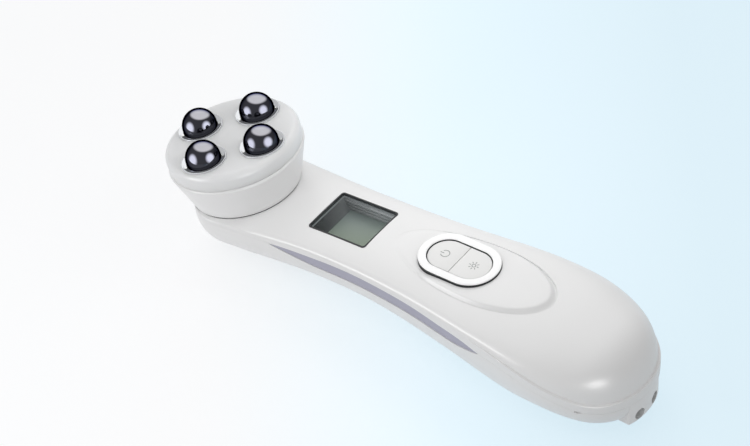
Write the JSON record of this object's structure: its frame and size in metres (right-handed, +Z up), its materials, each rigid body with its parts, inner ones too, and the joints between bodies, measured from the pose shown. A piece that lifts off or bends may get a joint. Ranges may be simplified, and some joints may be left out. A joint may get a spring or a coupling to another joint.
{
  "type": "handheld facial toning device",
  "caption": "Handheld facial toning device: tilted round head with polished contact balls on an arched white handle with a display, a pair of keys and charging sockets.",
  "frame": {"origin": "middle of the length and width, on the surface that the back of the device rests on", "axes": "+X along the handle from the head to the charging sockets, +Y to the device's left when the head points away from the viewer, +Z up, out of the display side"},
  "size_m": [0.1869, 0.0486, 0.0507],
  "materials": {
    "white_shell": "smooth moulded white plastic with a soft gloss",
    "white_gloss": "high-gloss white plastic",
    "frosted_cap": "frosted white light-diffusing plastic",
    "key_grey": "light grey satin plastic",
    "strip_grey": "lavender-grey matte inlay",
    "ball_metal": "mirror-polished dark chrome plating",
    "dark_trim": "near-black moulded plastic",
    "dark_rubber": "soft black rubber or foam",
    "clear_window": "clear polished window",
    "display_panel": "grey-green reflective display glass",
    "backlight": "milky light guide",
    "connector_rubber": "layered elastomer connector",
    "inner_plastic": "natural moulded insulating plastic",
    "white_board": "white solder-mask laminate",
    "green_board": "green solder-mask laminate",
    "diode_resin": "yellowish diode resin",
    "contact_brass": "plated contact brass",
    "coil_copper": "enamelled copper winding",
    "screw_steel": "zinc-plated steel",
    "battery_foil": "satin pouch-cell foil",
    "ribbon": "amber flexible ribbon",
    "dark_lead": "black lead insulation",
    "red_lead": "red lead insulation"
  },
  "bodies": {
    "housing": {"top_shell": "white_shell", "bottom_shell": "white_shell", "socket_block": "white_shell", "head_cup": "white_shell", "neck_gasket": "dark_rubber", "head_diffuser": "frosted_cap", "electrode_plate": "inner_plastic", "led_board": "white_board", "head_leds": "diode_resin", "head_screws": "screw_steel", "electrode_front": "ball_metal", "electrode_rear": "ball_metal", "electrode_left": "ball_metal", "electrode_right": "ball_metal", "collar_front": "white_gloss", "collar_rear": "white_gloss", "collar_left": "white_gloss", "collar_right": "white_gloss", "electrode_nuts": "screw_steel", "electrode_lugs": "contact_brass", "head_board_screws": "screw_steel", "head_harness": "dark_lead", "lcd_frame": "dark_trim", "lcd_window": "clear_window", "lcd_panel": "display_panel", "lcd_backlight": "backlight", "lcd_connectors": "connector_rubber", "key_ring": "white_gloss", "power_switch": "dark_trim", "light_switch": "dark_trim", "key_board": "green_board", "key_board_screws": "screw_steel", "key_ribbon": "ribbon", "side_strip_left": "strip_grey", "side_strip_right": "strip_grey", "main_board": "green_board", "controller_chip": "dark_trim", "output_coil": "coil_copper", "buzzer": "dark_trim", "battery_cell": "battery_foil", "battery_foam": "dark_rubber", "battery_leads": "dark_lead", "charge_pin_left": "contact_brass", "charge_pin_right": "contact_brass", "charge_leads": "red_lead", "board_screws": "screw_steel", "shell_screws": "screw_steel"},
    "power_button": {"power_key": "key_grey", "power_plunger": "dark_trim"},
    "light_button": {"light_key": "key_grey", "light_plunger": "dark_trim"}
  },
  "joints": [
    {"name": "power_press", "type": "slide", "parent": "housing", "child": "power_button", "axis": [0.0698, 0, -0.9976], "range_m": [0, 0.0005], "stiffness_N_per_m": 1200, "springref_m": -0.0003},
    {"name": "light_press", "type": "slide", "parent": "housing", "child": "light_button", "axis": [0.0698, 0, -0.9976], "range_m": [0, 0.0005], "stiffness_N_per_m": 1200, "springref_m": -0.0003}
  ]
}
